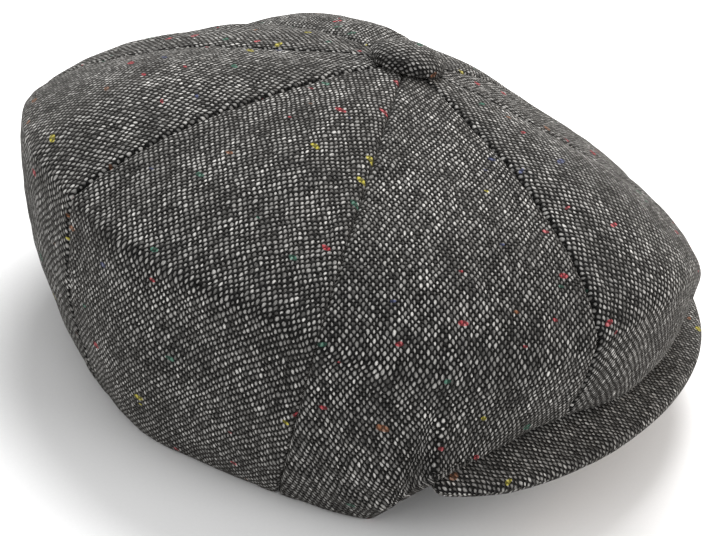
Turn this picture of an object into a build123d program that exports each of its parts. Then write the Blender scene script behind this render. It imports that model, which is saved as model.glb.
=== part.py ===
"""Newsboy cap: eight tweed crown gores gathered under a covered button, a satin lining,
a sweatband with its stiffener and piping, and a stiffened peak.

Millimetres. +Z is up, the peak points along -Y and the wearer's right is -X. The cap rests on the
lower fold of its crown at Z = 0. The crown slumps to the wearer's left, so everything that belongs
to it is laid out round a leaning axis: a heading is an angle round that axis, measured from the
front towards the wearer's right, and each seam lies in one plane through the axis.
"""

from build123d import *
import math
import os

os.makedirs("parts", exist_ok=True)

# Crown: the leaning axis
LEAN = math.radians(6.0)  # slump towards the wearer's left
MIDDLE_X = -2.45  # the middle plane of the peak and the head opening, so that the origin is under the whole cap
PIVOT_Z = 36.0  # the height at which the leaning axis crosses the middle plane
AXIS_Y = 4.0  # the button's axis stands this far behind the origin
GORES = 8
GORE_ANGLE = 360.0 / GORES

# Crown: radii and heights along the leaning axis, from the pivot
BUTTON_HEIGHT = 72.5
RIM_HALF_WIDTH = 125.5
RIM_HALF_LENGTH = 119.0
RIM_HEIGHTS_RIGHT = (38.0, 13.0, 23.0, 39.0, 22.0)  # front, front quarter, side, back quarter, back
RIM_HEIGHTS_LEFT = (38.0, 30.0, 24.0, 29.0, 22.0)
TOP_FULLNESS = (1.29, 1.68, 1.64)  # front, side, back: 2 is a round dome, 1 a cone
TOP_DROOP = (1.93, 1.16, 1.37)
WALL_FULLNESS = (2.0, 1.4, 1.6)  # front, side, back
FOLD_RADII = (104.0, 101.0, 101.0)  # front, side, back: where the fabric turns under
TWEED = 1.5
TURN_UP = 9.0  # the least height over the lower fold at which the fabric meets the band
SEAM_ALLOWANCE = 6.0  # sewn flat against the band
HOLE_RADIUS = 3.0  # where the gores stop round the button's shank

# Crown: the height of the lower fold above the table
FOLD_OVER_PEAK = 38.5
FOLD_ON_TABLE = -0.4  # the fabric lies flat where it would sink below the table
FOLD_AT_BACK = 12.0
PEAK_HEADING = 50.0  # the fold rides over the peak up to this heading
DROOP_HEADING = 58.0  # and hangs to the table from this one
LIFT_HEADING = 112.0  # from which it lifts towards the back

# Head opening: a level ellipse where the crown, the peak and the sweatband are sewn together
BAND_HALF_LENGTH = 92.0
BAND_HALF_WIDTH = 84.0
BAND_Y = 4.0
BAND_BOTTOM = 34.0
BAND_HEIGHT = 34.0
SWEATBAND = 1.0
STIFFENER = 0.8
PIPING_RADIUS = 1.3
PIPING_INSET = 0.6
CLEARANCE = 0.3
SEAM_CLEARANCE = 0.8  # more where the crown is gathered on to the band

# Lining: a dome that hangs a little below the crown and drops to the sweatband
LINING = 0.6
LINING_GAP = 4.0
LINING_SHOULDER = 0.25  # how squarely the dome turns down, 0 square and 1 round
LINING_OVERLAP = 6.0  # how far it runs down behind the sweatband
LINING_STRAIGHT = 4.0  # and how far above the sweatband it is already upright

# Peak: a shallow arch that slopes down to the front
PEAK_TIP_Y = -123.5
PEAK_TIP_Z = 30.5
PEAK_HALF_WIDTH = 109.0
PEAK_WIDEST_Y = -63.0
PEAK_ROUNDNESS = 0.95
PEAK_SWEEP = 66.0  # degrees of its outline each side of the tip
PEAK_SLOPE = math.radians(9.0)
PEAK_ARCH_RADIUS = 620.0
PEAK_COVER = 1.3
PEAK_BOARD = 1.8
PEAK_BOARD_INSET = 2.5
PEAK_CORNER_RADIUS = 7.0
PEAK_REACH = 90.0  # more than its depth, so that the slab runs past its inner edge

# Button
BUTTON_RADIUS = 13.5
BUTTON_DOME = 5.5  # the dome's rise over the skirt
BUTTON_SKIRT = 2.0  # the upright edge below the dome
BUTTON_CLOTH = 1.2
BUTTON_SHELL = 0.8
BUTTON_BACK = 1.0
BUTTON_SEAT = 0.3  # over the highest point of the gores
SHANK_RADIUS = 1.2
WASHER_RADIUS = 6.0
WASHER = 0.8
WASHER_DROP = 3.0  # below the top of the crown

STRETCH = 6  # steps along each stretch of a seam line: top, wall and underside
SECTIONS = 6  # planes through the axis that shape one gore


def ease(value, start, end):
    """0 before start, 1 after end, and smooth in between."""
    part = min(max((value - start) / (end - start), 0.0), 1.0)
    return part * part * (3.0 - 2.0 * part)


def between(keys, heading):
    """Ease through values given at even steps from the front to the back, the same on both sides."""
    place = abs((heading + 180.0) % 360.0 - 180.0) / 180.0 * (len(keys) - 1)
    low = min(int(place), len(keys) - 2)
    part = place - low
    return keys[low] + (keys[low + 1] - keys[low]) * ease(part, 0.0, 1.0)


def rim_height_at(heading):
    right = math.sin(math.radians(heading)) > 0.0
    return between(RIM_HEIGHTS_RIGHT if right else RIM_HEIGHTS_LEFT, heading)


def rim_radius(heading):
    across = math.sin(math.radians(heading)) / RIM_HALF_WIDTH
    along = math.cos(math.radians(heading)) / RIM_HALF_LENGTH
    return 1.0 / math.hypot(across, along)


def height_at(radius, heading, table_height):
    """The height along the axis at which a point of this radius is so high over the table."""
    sideways = radius * math.sin(math.radians(heading)) * math.sin(LEAN)
    return (table_height - PIVOT_Z - sideways) / math.cos(LEAN)


def band_radius(heading, grow, table_height):
    """The radius at which this heading's seam plane meets the head opening's ellipse."""
    low, high = 1.0, 200.0
    while high - low > 1e-6:
        middle = (low + high) / 2.0
        point = seam_point(middle, height_at(middle, heading, table_height), heading)
        across = (point.X - MIDDLE_X) / (BAND_HALF_WIDTH + grow)
        along = (point.Y - BAND_Y) / (BAND_HALF_LENGTH + grow)
        if math.hypot(across, along) < 1.0:
            low = middle
        else:
            high = middle
    return low


def seam_plane(heading):
    """A plane through the leaning axis, with x pointing outward at this heading and y up the axis."""
    turn = math.radians(heading)
    outward = Vector(-math.sin(turn) * math.cos(LEAN), -math.cos(turn), math.sin(turn) * math.sin(LEAN))
    upward = Vector(math.sin(LEAN), 0.0, math.cos(LEAN))
    return Plane(origin=(MIDDLE_X, AXIS_Y, PIVOT_Z), x_dir=outward, z_dir=outward.cross(upward))


def seam_point(radius, height, heading):
    return seam_plane(heading).from_local_coords(Vector(radius, height, 0.0))


def fold_over_table(heading):
    """How high the lower fold hangs: over the peak in front, on the table beside it, a little up behind."""
    away = abs((heading + 180.0) % 360.0 - 180.0)
    drop = (FOLD_ON_TABLE - FOLD_OVER_PEAK) * ease(away, PEAK_HEADING, DROOP_HEADING)
    lift = (FOLD_AT_BACK - FOLD_ON_TABLE) * ease(away, LIFT_HEADING, 180.0)
    return FOLD_OVER_PEAK + drop + lift


def quarter(share, fullness):
    """A quarter of a superellipse: how much of the start and of the end is left at this share."""
    turn = share * math.pi / 2.0
    return math.cos(turn) ** (2.0 / fullness), math.sin(turn) ** (2.0 / fullness)


def top_height(radius, heading):
    """The height of the crown's top at a radius, along the axis."""
    rim_height = rim_height_at(heading)
    sine = (radius / rim_radius(heading)) ** (between(TOP_FULLNESS, heading) / 2.0)
    cosine = math.sqrt(max(1.0 - sine * sine, 0.0))
    return rim_height + (BUTTON_HEIGHT - rim_height) * cosine ** (2.0 / between(TOP_DROOP, heading))


def crown_line(heading):
    """The outside of the crown in one seam plane, from the shank over the rim to the head opening."""
    rim = rim_radius(heading)
    rim_height = rim_height_at(heading)
    fold = between(FOLD_RADII, heading)
    fold_height = height_at(fold, heading, fold_over_table(heading))
    turned_up = max(BAND_BOTTOM + TWEED, fold_over_table(heading) + TURN_UP)
    edge = band_radius(heading, STIFFENER + SEAM_CLEARANCE, turned_up)
    edge_height = height_at(edge, heading, turned_up)
    line = []
    for step in range(STRETCH + 1):
        out = HOLE_RADIUS + (rim - HOLE_RADIUS) * math.sin(math.radians(90.0 * step / STRETCH))
        line.append((out, top_height(out, heading)))
    for step in range(1, STRETCH + 1):
        out, down = quarter(step / STRETCH, between(WALL_FULLNESS, heading))
        line.append((fold + (rim - fold) * out, rim_height + (fold_height - rim_height) * down))
    for step in range(1, STRETCH + 1):
        turn = math.radians(90.0 * step / STRETCH)
        inward = fold - (fold - edge) * math.sin(turn)
        line.append((inward, edge_height + (fold_height - edge_height) * math.cos(turn)))
    hem = band_radius(heading, STIFFENER + SEAM_CLEARANCE, turned_up + SEAM_ALLOWANCE)
    line.append((hem, height_at(hem, heading, turned_up + SEAM_ALLOWANCE)))
    return line


def direction(line, index):
    """The way a line runs at one of its points."""
    before = line[max(index - 1, 0)]
    after = line[min(index + 1, len(line) - 1)]
    return Vector(after[0] - before[0], after[1] - before[1]).normalized()


def inside(line, depth):
    """The same line moved inwards: to the right-hand side of its direction of travel."""
    moved = []
    for index, (out, up) in enumerate(line):
        run = direction(line, index)
        moved.append((out + depth * run.Y, up - depth * run.X))
    return moved


def lining_line(heading):
    """The outside of the lining in one seam plane, from the shank to the top of the sweatband."""
    grow = STIFFENER + CLEARANCE + LINING
    top = BAND_BOTTOM + BAND_HEIGHT
    edge = band_radius(heading, grow, top + LINING_STRAIGHT)
    edge_height = height_at(edge, heading, top + LINING_STRAIGHT)
    line = []
    for step in range(STRETCH + 1):
        turn = math.radians(90.0 * step / STRETCH)
        out = HOLE_RADIUS + (edge - HOLE_RADIUS) * math.sin(turn)
        hang = top_height(out, heading) - LINING_GAP - edge_height
        line.append((out, edge_height + hang * math.cos(turn) ** LINING_SHOULDER))
    hem = band_radius(heading, grow, top - LINING_OVERLAP)
    line.append((hem, height_at(hem, heading, top - LINING_OVERLAP)))
    return line


def gore_headings(number):
    """The seam planes that shape gore 1 to 8, counted from the middle front to the wearer's right."""
    middle = (number - 1) * GORE_ANGLE
    steps = [middle - GORE_ANGLE / 2.0 + GORE_ANGLE * index / (SECTIONS - 1) for index in range(SECTIONS)]
    return steps


# Eight crown gores and eight lining gores
for name, line_at, depth in (("crown_panel", crown_line, TWEED), ("lining_panel", lining_line, LINING)):
    for number in range(1, GORES + 1):
        with BuildPart() as gore:
            for heading in gore_headings(number):
                outer = line_at(heading)
                inner = inside(outer, depth)
                with BuildSketch(seam_plane(heading)):
                    with BuildLine():
                        Polyline(*outer, *reversed(inner), close=True)
                    make_face()
            loft()
            split(bisect_by=Plane.XY, keep=Keep.TOP)
        gore.part.label = f"{name}_{number}"
        export_step(gore.part, f"parts/{name}_{number}.step")


def band_ring(grow, thickness):
    """Draw an oval ring in the current sketch that starts so far outside the head opening's outline."""
    with Locations((MIDDLE_X, BAND_Y)):
        Ellipse(BAND_HALF_WIDTH + grow + thickness, BAND_HALF_LENGTH + grow + thickness)
        Ellipse(BAND_HALF_WIDTH + grow, BAND_HALF_LENGTH + grow, mode=Mode.SUBTRACT)


# Sweatband, sewn in round the head opening
with BuildPart() as sweatband:
    with BuildSketch(Plane.XY.offset(BAND_BOTTOM)):
        band_ring(-SWEATBAND, SWEATBAND)
    extrude(amount=BAND_HEIGHT)
sweatband.part.label = "sweatband"
export_step(sweatband.part, "parts/sweatband.step")

# Stiffener between the sweatband and the crown's seam allowance
with BuildPart() as band_stiffener:
    with BuildSketch(Plane.XY.offset(BAND_BOTTOM)):
        band_ring(0.0, STIFFENER)
    extrude(amount=BAND_HEIGHT)
band_stiffener.part.label = "band_stiffener"
export_step(band_stiffener.part, "parts/band_stiffener.step")

# Satin piping along the sweatband's upper edge
with BuildPart() as sweatband_piping:
    with BuildLine(Plane.XY.offset(BAND_BOTTOM + BAND_HEIGHT + PIPING_RADIUS)) as piping_path:
        EllipticalCenterArc(
            (MIDDLE_X, BAND_Y), BAND_HALF_WIDTH - PIPING_INSET, BAND_HALF_LENGTH - PIPING_INSET, arc_size=360.0
        )
    with BuildSketch(Plane(origin=piping_path.line @ 0, z_dir=piping_path.line % 0)):
        Circle(PIPING_RADIUS)
    sweep(path=piping_path.line)
sweatband_piping.part.label = "sweatband_piping"
export_step(sweatband_piping.part, "parts/sweatband_piping.step")


# Peak: its cross-section is drawn across an axis that slopes down to the front
peak_plane = Plane(
    origin=(MIDDLE_X, PEAK_TIP_Y, PEAK_TIP_Z),
    x_dir=(-1.0, 0.0, 0.0),
    z_dir=(0.0, math.cos(PEAK_SLOPE), math.sin(PEAK_SLOPE)),
)


def peak_edge(turn, inset):
    """A point on the peak's outline, so many degrees round from its tip."""
    depth = PEAK_WIDEST_Y - PEAK_TIP_Y - inset
    across = MIDDLE_X + (PEAK_HALF_WIDTH - inset) * math.sin(math.radians(turn))
    return across, PEAK_WIDEST_Y - depth * math.cos(math.radians(turn)) ** PEAK_ROUNDNESS


def peak_slab(top, bottom, inset):
    """A curved slab of the peak's outline, between two heights over its middle surface."""
    edge = [peak_edge(PEAK_SWEEP * step / 8, inset) for step in range(-8, 9)]
    grow = STIFFENER + CLEARANCE + inset
    with BuildPart() as slab:
        with BuildSketch() as outline:
            with BuildLine():
                Spline(*edge)
                Line(edge[-1], (MIDDLE_X, AXIS_Y))
                Line((MIDDLE_X, AXIS_Y), edge[0])
            make_face()
            fillet(outline.vertices().sort_by(Axis.Y)[:2], radius=PEAK_CORNER_RADIUS)
            with Locations((MIDDLE_X, BAND_Y)):
                Ellipse(BAND_HALF_WIDTH + grow, BAND_HALF_LENGTH + grow, mode=Mode.SUBTRACT)
        extrude(amount=PEAK_REACH)
        with BuildSketch(peak_plane.offset(-PEAK_REACH / 2)):
            Rectangle(PEAK_HALF_WIDTH * 3, PEAK_REACH)
            with Locations((0.0, -PEAK_ARCH_RADIUS)):
                Circle(PEAK_ARCH_RADIUS + top, mode=Mode.INTERSECT)
                Circle(PEAK_ARCH_RADIUS + bottom, mode=Mode.SUBTRACT)
        extrude(amount=PEAK_REACH * 2, mode=Mode.INTERSECT)
    return slab.part


# The board that keeps the peak's shape, sealed between its two covers
with BuildPart() as peak_board:
    add(peak_slab(PEAK_BOARD / 2, -PEAK_BOARD / 2, PEAK_BOARD_INSET))
peak_board.part.label = "peak_board"
export_step(peak_board.part, "parts/peak_board.step")

with BuildPart() as peak_top_cover:
    add(peak_slab(PEAK_BOARD / 2 + PEAK_COVER, 0.0, 0.0))
    add(peak_board.part, mode=Mode.SUBTRACT)
peak_top_cover.part.label = "peak_top_cover"
export_step(peak_top_cover.part, "parts/peak_top_cover.step")

with BuildPart() as peak_under_cover:
    add(peak_slab(0.0, -PEAK_BOARD / 2 - PEAK_COVER, 0.0))
    add(peak_board.part, mode=Mode.SUBTRACT)
peak_under_cover.part.label = "peak_under_cover"
export_step(peak_under_cover.part, "parts/peak_under_cover.step")


# Button: each piece is turned round the leaning axis, from a half section in the front seam plane
section = seam_plane(0.0)
axis = Axis(section.origin, section.y_dir)
seat = BUTTON_HEIGHT + BUTTON_SEAT
dome_foot = seat + BUTTON_SKIRT


def dome_profile(inset, foot):
    """Draw half of a domed disc with an upright skirt, so far inside the finished button."""
    radius = BUTTON_RADIUS - inset
    rise = BUTTON_DOME - inset
    Polyline((0.0, dome_foot + rise), (0.0, foot), (radius, foot), (radius, dome_foot))
    RadiusArc((radius, dome_foot), (0.0, dome_foot + rise), -(radius**2 + rise**2) / (2 * rise))


# The tweed drawn over the dome
with BuildPart() as button_cover:
    with BuildSketch(section):
        with BuildLine():
            dome_profile(0.0, seat)
        make_face()
        with BuildLine():
            dome_profile(BUTTON_CLOTH, seat)
        make_face(mode=Mode.SUBTRACT)
    revolve(axis=axis)
button_cover.part.label = "button_cover"
export_step(button_cover.part, "parts/button_cover.step")

# The pressed shell that gives the button its dome
with BuildPart() as button_shell:
    with BuildSketch(section):
        with BuildLine():
            dome_profile(BUTTON_CLOTH, seat + BUTTON_BACK)
        make_face()
        with BuildLine():
            dome_profile(BUTTON_CLOTH + BUTTON_SHELL, seat + BUTTON_BACK)
        make_face(mode=Mode.SUBTRACT)
    revolve(axis=axis)
button_shell.part.label = "button_shell"
export_step(button_shell.part, "parts/button_shell.step")

# The plate that closes it, with the shank that goes down through the middle of the crown
with BuildPart() as button_back:
    with BuildSketch(section):
        with Locations((0.0, seat)):
            Rectangle(BUTTON_RADIUS - BUTTON_CLOTH, BUTTON_BACK, align=Align.MIN)
        with Locations((0.0, seat)):
            Rectangle(SHANK_RADIUS, WASHER_DROP + BUTTON_SEAT, align=(Align.MIN, Align.MAX))
    revolve(axis=axis)
button_back.part.label = "button_back"
export_step(button_back.part, "parts/button_back.step")

# The washer under the crown on which the end of the shank is closed over
with BuildPart() as button_washer:
    with BuildSketch(section):
        with Locations((SHANK_RADIUS, BUTTON_HEIGHT - WASHER_DROP)):
            Rectangle(WASHER_RADIUS - SHANK_RADIUS, WASHER, align=Align.MIN)
    revolve(axis=axis)
button_washer.part.label = "button_washer"
export_step(button_washer.part, "parts/button_washer.step")
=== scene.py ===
"""Looks of the newsboy cap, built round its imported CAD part.

Metres, in the part's frame: +Z is up, the peak points along -Y and the wearer's right is -X. The
crown leans to the wearer's left, so it is laid out round a leaning axis: a heading is an angle in
degrees round that axis, from the front towards the wearer's right. The shapes follow the part's own
formulas, fitted more closely, and add what cloth does: rolled seams, puffed gores, puckers and slack.
"""

import math

import bpy
import numpy as np
from mathutils import Matrix, Vector


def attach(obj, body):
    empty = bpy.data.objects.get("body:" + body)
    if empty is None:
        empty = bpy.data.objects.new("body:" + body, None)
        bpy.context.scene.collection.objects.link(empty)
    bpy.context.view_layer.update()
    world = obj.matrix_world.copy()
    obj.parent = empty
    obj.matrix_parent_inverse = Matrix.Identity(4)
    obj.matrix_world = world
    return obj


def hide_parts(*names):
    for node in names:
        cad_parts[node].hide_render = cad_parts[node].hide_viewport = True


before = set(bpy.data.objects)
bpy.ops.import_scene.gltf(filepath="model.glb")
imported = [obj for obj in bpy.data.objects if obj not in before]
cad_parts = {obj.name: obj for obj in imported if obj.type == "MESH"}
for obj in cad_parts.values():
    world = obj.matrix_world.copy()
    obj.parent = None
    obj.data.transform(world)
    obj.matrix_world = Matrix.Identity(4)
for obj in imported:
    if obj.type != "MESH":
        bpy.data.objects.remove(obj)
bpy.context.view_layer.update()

# Crown, laid out as in the part
LEAN = math.radians(6.0)
MIDDLE_X = -0.00245
AXIS_Y = 0.004
PIVOT_Z = 0.036
GORES = 8
GORE_ANGLE = 360.0 / GORES
BUTTON_HEIGHT = 0.0725
RIM_HALF_WIDTH = 0.1255
RIM_HALF_LENGTH = 0.119
# At the front, the front quarter, the side, the back quarter and the back
RIM_HEIGHTS_RIGHT = (0.038, 0.013, 0.023, 0.0285, 0.024)
RIM_HEIGHTS_LEFT = (0.038, 0.016, 0.023, 0.039, 0.024)
BACK_SWELL = 0.0036  # the slack at the back hangs out a little to the wearer's right
BACK_SWELL_HEADING = 147.0
BACK_SWELL_WIDTH = 26.0
TOP_FULLNESS = (1.29, 1.68, 1.64)  # front, side, back
TOP_DROOP = (1.93, 1.16, 1.37)
WALL_FULLNESS = (2.3, 1.45, 1.4)
FOLD_RADII = (0.110, 0.109, 0.0995, 0.094, 0.097)  # at the same five places as the rim's heights
TWEED = 0.0015
TURN_UP = 0.009
SEAM_ALLOWANCE = 0.006
HOLE_RADIUS = 0.003  # where the gores end, round the button's shank
LINING_POINT = 0.0004  # the lining's gores meet here, under the button's washer
FOLD_ON_TABLE = -0.0004
FOLD_AT_BACK = 0.012
PEAK_HEADING = 47.9  # the crown lies over the peak up to here
DROOP_HEADING = 51.8  # and hangs down to the table from here
LOBE_CURVE = 2.1  # how round the hanging lobe ends beside the peak
LIFT_HEADING = 112.0  # from here to the back it lifts off the table
CREASE_RADIUS = 0.1125  # where the crown meets the peak in front
CREASE_SPREAD = 0.0255  # and how much further out at the peak's corners
CREASE_SPREADS_FROM = 20.0
CREASE_SPREADS_TO = 50.0
CREASE_CURVE = 1.7
CORNER_BULGE = 0.003  # the slack that hangs out beside each of the peak's corners
CORNER_HEADING = 52.0
CORNER_WIDTH = 6.0

# Head opening, as in the part
BAND_HALF_LENGTH = 0.092
BAND_HALF_WIDTH = 0.084
BAND_Y = 0.004
BAND_BOTTOM = 0.034
BAND_HEIGHT = 0.034
SWEATBAND = 0.001
STIFFENER = 0.0008
CLEARANCE = 0.0003
SEAM_CLEARANCE = 0.0008
PIPING_RADIUS = 0.0013
PIPING_INSET = 0.0006
LINING = 0.0006
LINING_GAP = 0.004
LINING_SHOULDER = 0.25
LINING_OVERLAP = 0.006
LINING_STRAIGHT = 0.004

# Peak, as in the part but for its corners, which reach further out and are sharper
PEAK_TIP_Y = -0.1235
PEAK_TIP_Z = 0.0305
PEAK_HALF_WIDTH = 0.109
PEAK_WIDEST_Y = -0.063
PEAK_ROUNDNESS = 0.95
PEAK_SWEEP = 67.2
PEAK_SLOPE = math.radians(9.0)
PEAK_ARCH_RADIUS = 0.620
PEAK_COVER = 0.0013
PEAK_BOARD = 0.0018
PEAK_CORNER_RADIUS = 0.0032
PEAK_COLUMNS = 321
PEAK_ROWS = 30
PEAK_ROLL = 0.0028  # how far in the covers start to roll over the board's edge
PEAK_ROLL_ROWS = 9

# Button, as in the part
BUTTON_RADIUS = 0.0135
BUTTON_DOME = 0.0055
BUTTON_SKIRT = 0.002
BUTTON_CLOTH = 0.0012
BUTTON_SEAT = 0.0003
BUTTON_ROLL = 0.0009  # the rounded edge under the skirt
BUTTON_TUCK = 0.00015
BUTTON_SPOKES = 128

# What the cloth does
SEAM_ROLL = 0.0014  # the radius of the two rolled edges that meet in a seam
ALLOWANCE_RIDGE = 0.0004  # the allowances pressed open beneath
ALLOWANCE_WIDTH = 0.0062
# How far each gore stands out between its seams
PUFFS = (0.0018, 0.0018, 0.0018, 0.0022, 0.0032, 0.0036, 0.0026, 0.0018)
WRINKLE = 0.00045  # the folds that run back from the corners of the peak
WRINKLE_REACH = 15.0
WRINKLE_ROWS = 9.0
PUCKER = 0.00022
PUCKER_LENGTH = 0.011
PUCKER_REACH = 0.006
SLACK = ((0.075, 0.0009), (0.030, 0.0003), (0.011, 0.00009))  # wavelength and height of the cloth's unevenness
TABLE = 0.0002  # the lowest the cloth may hang
PEAK_GAP = 0.0018  # between the crown's fold and the peak

TOP_ROWS = 84
WALL_ROWS = 44
UNDER_ROWS = 14
HEM_ROWS = 4
FINE = 40  # steps of a stretch before its rows are spaced evenly
LINING_ROWS = 60
LINING_HEM_ROWS = 6
BAND_COLUMNS = 360
SEAM_COLUMNS_MM = (0.0, 0.12, 0.3, 0.55, 0.85, 1.2, 1.6, 2.2, 3.0, 4.0, 5.2, 6.4, 7.6, 9.2, 11.2, 13.6)
MIDDLE_COLUMNS_FROM = 0.0155
MIDDLE_COLUMNS = 24

# Weave
ACROSS_PITCH = 0.00106  # between yarns, across a gore
ALONG_PITCH = 0.00128  # and along it
LIGHT_OVAL = (0.56, 0.72)  # half widths of a light yarn's showing, in yarns
DARK_OVAL = (0.90, 0.60)
BUTTON_CLOTH_NUMBER = 18.0  # the gores are 1 to 8, and each number shifts the weave's chances
PEAK_CLOTH_NUMBER = 11.0

# Stitches along the sweatband
STITCHES = 176
STITCH_SHARE = 0.36  # half a stitch's length, from one stitch to the next
STITCH_RINGS = 5
STITCH_SIDES = 6
THREAD_RADIUS = 0.00022
THREAD_GAP = 0.00005


# ---------------------------------------------------------------- numbers


def ease(value, start, end):
    """0 before start, 1 after end, and smooth in between."""
    part = np.clip((value - start) / (end - start), 0.0, 1.0)
    return part * part * (3.0 - 2.0 * part)


def turned(heading):
    """How far a heading is from the front, 0 to 180."""
    return np.abs((heading + 180.0) % 360.0 - 180.0)


def between(keys, heading):
    """Ease through values given at even steps from the front to the back, the same on both sides."""
    place = turned(heading) / 180.0 * (len(keys) - 1)
    low = np.minimum(place.astype(int), len(keys) - 2)
    values = np.asarray(keys)
    return values[low] + (values[low + 1] - values[low]) * ease(place - low, 0.0, 1.0)


def waves(points, wavelength, seed, count=14):
    """Smooth unevenness between about -1 and 1: sines in scattered directions."""
    picker = np.random.default_rng(seed)
    total = np.zeros(points.shape[:-1])
    for _ in range(count):
        direction = picker.normal(size=3)
        direction /= np.linalg.norm(direction)
        stretch = picker.uniform(0.7, 1.4)
        phase = picker.uniform(0.0, 2.0 * math.pi)
        total += np.sin(points @ direction * (2.0 * math.pi / (wavelength * stretch)) + phase)
    return total / math.sqrt(count)


# ---------------------------------------------------------------- crown formulas


def rim_height_at(heading):
    right = np.sin(np.radians(heading)) > 0.0
    return np.where(right, between(RIM_HEIGHTS_RIGHT, heading), between(RIM_HEIGHTS_LEFT, heading))


def rim_radius(heading):
    turn = np.radians(heading)
    swell = BACK_SWELL * np.exp(-(((heading % 360.0 - BACK_SWELL_HEADING) / BACK_SWELL_WIDTH) ** 2))
    return swell + 1.0 / np.hypot(np.sin(turn) / RIM_HALF_WIDTH, np.cos(turn) / RIM_HALF_LENGTH)


def place(radius, height, heading):
    """The point at a radius and a height along the leaning axis."""
    turn = np.radians(heading)
    x = MIDDLE_X - radius * np.sin(turn) * math.cos(LEAN) + height * math.sin(LEAN)
    y = AXIS_Y - radius * np.cos(turn)
    z = PIVOT_Z + radius * np.sin(turn) * math.sin(LEAN) + height * math.cos(LEAN)
    return np.stack(np.broadcast_arrays(x, y, z), axis=-1)


def height_at(radius, heading, table_height):
    """The height along the axis at which a point of this radius is so high over the table."""
    sideways = radius * np.sin(np.radians(heading)) * math.sin(LEAN)
    return (table_height - PIVOT_Z - sideways) / math.cos(LEAN)


def band_radius(heading, grow, table_height):
    """The radius at which this heading's seam plane meets the head opening's ellipse."""
    low = np.full_like(heading, 0.001)
    high = np.full_like(heading, 0.200)
    for _ in range(30):
        middle = (low + high) / 2.0
        point = place(middle, height_at(middle, heading, table_height), heading)
        across = (point[..., 0] - MIDDLE_X) / (BAND_HALF_WIDTH + grow)
        along = (point[..., 1] - BAND_Y) / (BAND_HALF_LENGTH + grow)
        inside = np.hypot(across, along) < 1.0
        low = np.where(inside, middle, low)
        high = np.where(inside, high, middle)
    return low


def beside_peak(heading):
    """0 where the crown lies over the peak, 1 where it hangs to the table."""
    share = np.clip((turned(heading) - PEAK_HEADING) / (DROOP_HEADING - PEAK_HEADING), 0.0, 1.0)
    return 1.0 - (1.0 - share) ** LOBE_CURVE


def fold_radius(heading):
    """Where the fabric turns under: at its crease with the peak, or hanging beside it."""
    share = np.clip((turned(heading) - CREASE_SPREADS_FROM) / (CREASE_SPREADS_TO - CREASE_SPREADS_FROM), 0.0, 1.0)
    crease = CREASE_RADIUS + CREASE_SPREAD * share**CREASE_CURVE
    hanging = between(FOLD_RADII, heading)
    return crease + (hanging - crease) * beside_peak(heading)


def peak_top(x, y):
    """The height of the peak's top surface."""
    return peak_middle(x, y) + PEAK_BOARD / 2.0 + PEAK_COVER


def peak_middle(x, y):
    """The height of the peak's middle surface."""
    return PEAK_TIP_Z + math.tan(PEAK_SLOPE) * (y - PEAK_TIP_Y) - (x - MIDDLE_X) ** 2 / (2.0 * PEAK_ARCH_RADIUS)


def fold_over_table(heading):
    """How high the lower fold hangs: on the peak in front, on the table beside it, a little up behind."""
    spot = place(fold_radius(heading), 0.0, heading)
    over_peak = peak_top(spot[..., 0], spot[..., 1]) + PEAK_GAP
    lift = (FOLD_AT_BACK - FOLD_ON_TABLE) * ease(turned(heading), LIFT_HEADING, 180.0)
    return over_peak + (FOLD_ON_TABLE - over_peak) * beside_peak(heading) + lift


def top_height(radius, heading):
    """The height of the crown's top at a radius, along the axis."""
    rim_height = rim_height_at(heading)
    sine = (radius / rim_radius(heading)) ** (between(TOP_FULLNESS, heading) / 2.0)
    cosine = np.sqrt(np.clip(1.0 - sine * sine, 0.0, 1.0))
    return rim_height + (BUTTON_HEIGHT - rim_height) * cosine ** (2.0 / between(TOP_DROOP, heading))


def even_rows(radius, height, rows):
    """Space a stretch of every seam line evenly along its length."""
    step = np.hypot(np.diff(radius, axis=0), np.diff(height, axis=0))
    length = np.vstack([np.zeros(step.shape[1]), np.cumsum(step, axis=0)])
    spaced = np.linspace(0.0, 1.0, rows + 1)
    shape = (rows + 1, radius.shape[1])
    new_radius = np.empty(shape)
    new_height = np.empty(shape)
    for column in range(radius.shape[1]):
        wanted = spaced * length[-1, column]
        new_radius[:, column] = np.interp(wanted, length[:, column], radius[:, column])
        new_height[:, column] = np.interp(wanted, length[:, column], height[:, column])
    return new_radius, new_height


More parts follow.
